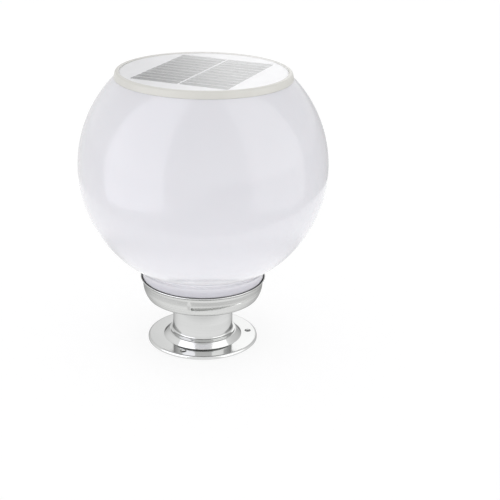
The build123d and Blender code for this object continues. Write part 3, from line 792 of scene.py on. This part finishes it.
def collar_path():
    """Middle line of the collar's sheet as (radius, height, normal angle), from the lip to the bolt hole."""
    half = COLLAR_SHEET / 2
    wall = COLLAR_R - half
    flare_r = (LIP_HIGH**2 + LIP_REACH**2) / (2 * LIP_REACH)
    flare_turn = degrees(asin(LIP_HIGH / flare_r))
    curve = COLLAR_CURVE_R - half
    floor_z = COLLAR_LOW_Z + half
    corner_z = floor_z + COLLAR_CORNER_R
    reach = curve - COLLAR_CORNER_R
    corner_r = wall - curve + sqrt(reach**2 - (COLLAR_KNEE_Z - corner_z) ** 2)
    slope = degrees(asin((COLLAR_KNEE_Z - corner_z) / reach))
    path = []
    for i in range(FLARE_STEPS + 1):
        turn = flare_turn * (1 - i / FLARE_STEPS)
        path.append((*on_circle((wall + flare_r, LIP_Z - LIP_HIGH), flare_r, 180 - turn), -turn))
    for height in np.linspace(LIP_Z - LIP_HIGH, COLLAR_KNEE_Z, WALL_STEPS + 1)[1:]:
        path.append((wall, height, 0.0))
    for i in range(1, BOWL_STEPS + 1):
        turn = -slope * i / BOWL_STEPS
        path.append((*on_circle((wall - curve, COLLAR_KNEE_Z), curve, turn), turn))
    for i in range(1, CORNER_STEPS + 1):
        turn = -slope - (90 - slope) * i / CORNER_STEPS
        path.append((*on_circle((corner_r, corner_z), COLLAR_CORNER_R, turn), turn))
    for radius in np.linspace(corner_r, BOLT_HOLE_R, FLOOR_STEPS + 1)[1:]:
        path.append((radius, floor_z, -90.0))
    return path


def dimple(place, height):
    """How far the valley beside a lug's blunt end draws the sheet in, at an angle from that end and a height."""
    around = (place + DIMPLE_REACH) / DIMPLE_REACH
    upward = (height - DIMPLE_Z) / DIMPLE_HALF_HIGH
    spread = around**2 + upward**2
    return 0.0 if spread > 1 else DIMPLE_DEPTH * (1 - spread) ** 2


def lug_dent(angle, height):
    """How far the sheet is pressed in at a place on the collar."""
    place = (angle - LUG_START + LUG_AHEAD) % LUG_PITCH - LUG_AHEAD
    share = max(0.0, place / LUG_SPAN)
    valley = dimple(place, height)
    if place < -LUG_BLUNT or share > 1 + LUG_TAIL:
        return valley
    top = LUG_TOP_Z + LUG_TOP_RISE * share
    bottom = LUG_BOTTOM_Z + LUG_BOTTOM_RISE * share
    down = (top - height) / (top - bottom)
    if not 0 < down < 1:
        return valley
    depth = LUG_TAIL_DEPTH + (LUG_DEPTH - LUG_TAIL_DEPTH) * (1 - min(share, 1.0) ** LUG_TAPER)
    depth *= 1 - max(0.0, share - 1) / LUG_TAIL
    fade = 0.5 + 0.5 * cos(pi * min(0.0, place) / LUG_BLUNT)
    return max(valley, depth * fade * float(np.interp(down, LUG_DOWN, LUG_SHARES)))


def collar_angles():
    """Angles round the collar, closer together at the lugs and closest at their blunt ends."""
    stops = (-LUG_AHEAD, -LUG_BLUNT, LUG_HEAD, LUG_SPAN * (1 + LUG_TAIL), LUG_PITCH - LUG_AHEAD)
    one = []
    for low, high, steps in zip(stops, stops[1:], LUG_STEPS):
        one += list(np.linspace(low, high, steps, endpoint=False))
    return [LUG_START + angle + LUG_PITCH * i for i in range(LUG_COUNT) for angle in one]


def collar():
    """Pressed collar: the middle line's sheet, with the lugs pressed in through both its faces."""
    path = collar_path()
    bm = bmesh.new()
    columns = []
    for angle in collar_angles():
        turn = radians(angle)
        loop = []
        for side in (1, -1):
            for radius, height, normal in path[::side]:
                r = radius + side * COLLAR_SHEET / 2 * cos(radians(normal))
                z = height + side * COLLAR_SHEET / 2 * sin(radians(normal))
                if radius > LUG_ZONE_R:
                    r -= lug_dent(angle, height)
                loop.append(bm.verts.new((r * cos(turn), r * sin(turn), z)))
        columns.append(loop)
    stitch(bm, columns + columns[:1])
    piece = mesh_piece("steel_collar", bm, COLLAR_SHARP)
    bevel = piece.modifiers.new("edges", "BEVEL")
    bevel.width = COLLAR_EDGE
    bevel.segments = 2
    bevel.angle_limit = radians(COLLAR_EDGE_ANGLE)
    dress(piece, "brushed_steel", "base", "collar_cup")


# Stem and seal


def stem():
    """Polished tube with an out-turned foot and a closed top."""
    sheet = STEM_SHEET
    head = (STEM_R - 2 * sheet, STEM_TOP_Z - 2 * sheet)
    outline = [(STEM_FOOT_R, STEM_LOW_Z), (STEM_FOOT_R, STEM_LOW_Z + sheet)]
    outline += arc((STEM_R + sheet, STEM_LOW_Z + 2 * sheet), sheet, 270, 180, STEM_BEND_POINTS)
    outline += arc(head, 2 * sheet, 0, 90, STEM_BEND_POINTS)
    outline += [(BOLT_HOLE_R, STEM_TOP_Z), (BOLT_HOLE_R, STEM_TOP_Z - sheet)]
    outline += arc(head, sheet, 90, 0, STEM_BEND_POINTS)
    outline += [(STEM_R - sheet, STEM_LOW_Z + sheet), (STEM_R - sheet / 2, STEM_LOW_Z)]
    dress(lathe_piece("steel_stem", outline), "polished_steel", "base", "stem_tube")


def seal_ring():
    """Rubber ring under the neck's shoulder."""
    radius = (SEAL_TOP_Z - SEAL_LOW_Z) / 2
    last = 360 - 360 / SEAL_POINTS
    outline = arc((SEAL_R - radius, SEAL_TOP_Z - radius), radius, 0, last, SEAL_POINTS)
    dress(lathe_piece("neck_seal", outline), "dark_rubber", "neck_seal", "neck_seal_ring")


globe()
cap_ring()
cover()
panel()
collar()
stem()
seal_ring()


# Stage: camera, lamps, floor and surroundings


def camera():
    """Camera of the photograph, placed round the globe's centre."""
    data = bpy.data.cameras.new("camera")
    data.lens = CAMERA_LENS
    data.sensor_width = CAMERA_SENSOR
    data.clip_start = 0.01
    data.clip_end = 100
    placed = bpy.data.objects.new("camera", data)
    placed.location = Vector((0, 0, GLOBE_Z)) + direction(0, CAMERA_ELEVATION) * CAMERA_DISTANCE
    heading = Quaternion((0, 0, 1), radians(CAMERA_HEADING))
    pitch = Quaternion((1, 0, 0), radians(90 + CAMERA_PITCH))
    roll = Quaternion((0, 0, 1), radians(CAMERA_ROLL))
    placed.rotation_mode = "QUATERNION"
    placed.rotation_quaternion = heading @ pitch @ roll
    bpy.context.scene.collection.objects.link(placed)
    bpy.context.scene.camera = placed


def lamp(name, shape, radiance, area):
    """Area lamp of a radiance, seen neither by the camera nor through what is clear."""
    data = bpy.data.lights.new(name, "AREA")
    data.shape = shape
    data.energy = radiance * pi * area
    placed = bpy.data.objects.new(name, data)
    placed.visible_camera = False
    placed.visible_transmission = False
    bpy.context.scene.collection.objects.link(placed)
    return placed


def window(name, azimuth, width, radiance, color):
    """Upright soft window beside the object, seen only in its gloss."""
    placed = lamp(name, "RECTANGLE", radiance, width * WINDOW_HEIGHT)
    placed.data.size, placed.data.size_y = width, WINDOW_HEIGHT
    placed.data.color = color
    toward = direction(azimuth, 0)
    placed.location = toward * WINDOW_DISTANCE + Vector((0, 0, WINDOW_HEIGHT / 2))
    placed.rotation_mode = "QUATERNION"
    placed.rotation_quaternion = (-toward).to_track_quat("-Z", "Y")
    placed.visible_diffuse = False


def low_fill():
    """Weak broad light from the floor's level, as a white table under the object gives."""
    placed = lamp("low_fill", "DISK", LOW_FILL, pi * (LOW_FILL_SIZE / 2) ** 2)
    placed.data.size = LOW_FILL_SIZE
    placed.location = (0, 0, LOW_FILL_Z)
    placed.rotation_euler = (pi, 0, 0)
    placed.visible_glossy = False


def floor_in_gloss(look):
    """Level of the floor in the object's gloss: a round table with a dimmer ring of painted shadow, and the floor
    beyond it.
    """
    off_axis = look.measure("DISTANCE", (0, 0, 0))
    # Painted shadow of the object: the table dims in a ring round its axis and brightens again beyond it
    near = look.ramp(off_axis, TABLE_LEVEL, TABLE_PAINTED_SHADOW, *TABLE_SHADOW_IN)
    far = look.ramp(off_axis, 0.0, TABLE_LEVEL - TABLE_PAINTED_SHADOW, *TABLE_SHADOW_OUT)
    table = look.math("ADD", near, far)
    off_middle = look.measure("DISTANCE", direction(180, 0) * TABLE_BACK)
    edge = look.ramp(off_middle, 0.0, 1.0, TABLE_R - TABLE_EDGE, TABLE_R + TABLE_EDGE)
    front, rear = look.along(*FLOOR_LEFT_FRONT), look.along(*FLOOR_ACROSS)
    beyond = look.mix(look.along(*FLOOR_BEHIND), front, rear, "FLOAT")
    return look.mix(edge, table, beyond, "FLOAT")


def floor():
    """Pale floor: white to the eye but for the object's shadow, lit in its gloss, and clear from below."""
    bm = bmesh.new()
    bmesh.ops.create_grid(bm, x_segments=1, y_segments=1, size=FLOOR_SIZE)
    piece = mesh_piece("floor", bm)
    piece.location.z = -FLOOR_DROP
    look = Look("floor", (0.93, 0.93, 0.93), 0.9, Specular_IOR_Level=0.0)
    eye, bent = look.rays()
    white = look.math("MULTIPLY", eye, FLOOR_SEEN)
    straight = look.mix_shaders(white, look.shader.outputs["BSDF"], look.emission(FLOOR_WHITE))
    above = look.mix_shaders(bent, straight, look.emission(floor_in_gloss(look)))
    back = look.node("ShaderNodeNewGeometry").outputs["Backfacing"]
    nothing = look.node("ShaderNodeBsdfTransparent").outputs["BSDF"]
    look.surface(look.mix_shaders(look.math("MULTIPLY", back, eye), above, nothing))
    piece.data.materials.append(look.material)


def surroundings():
    """World: even white light, in which the gloss sees a window behind the object that is brighter on its right."""
    world = bpy.data.worlds.new("surroundings")
    bpy.context.scene.world = world
    world.use_nodes = True
    nodes = Nodes(world.node_tree, "Generated")

    def along(change):
        return nodes.along(*change, "SMOOTHSTEP")

    around = nodes.math("ADD", along(WORLD_AROUND), along(WORLD_LEFT))
    excess = nodes.math("SUBTRACT", along(REAR_WINDOW_ACROSS), around)
    mirrored = nodes.math("ADD", nodes.math("MULTIPLY", excess, along(REAR_WINDOW)), around)
    mirrored = nodes.math("ADD", mirrored, along(WORLD_HIGH))
    eye, bent = nodes.rays()
    strength = nodes.math("MULTIPLY", mirrored, bent)
    strength = nodes.math("ADD", strength, nodes.math("MULTIPLY", eye, WORLD_SEEN))
    matt = nodes.math("SUBTRACT", 1.0, nodes.math("MAXIMUM", bent, eye))
    strength = nodes.math("ADD", strength, nodes.math("MULTIPLY", matt, WORLD_LIGHT))
    background = world.node_tree.nodes["Background"]
    nodes.put(strength, background.inputs["Strength"])
    nodes.put((1, 1, 1), background.inputs["Color"])


camera()
floor()
surroundings()
window("left_window", azimuth=-59, width=0.39, radiance=1.0, color=LEFT_WINDOW_COLOR)
window("right_window", azimuth=64, width=0.37, radiance=0.62, color=RIGHT_WINDOW_COLOR)
low_fill()
bpy.context.scene.view_settings.view_transform = "Standard"
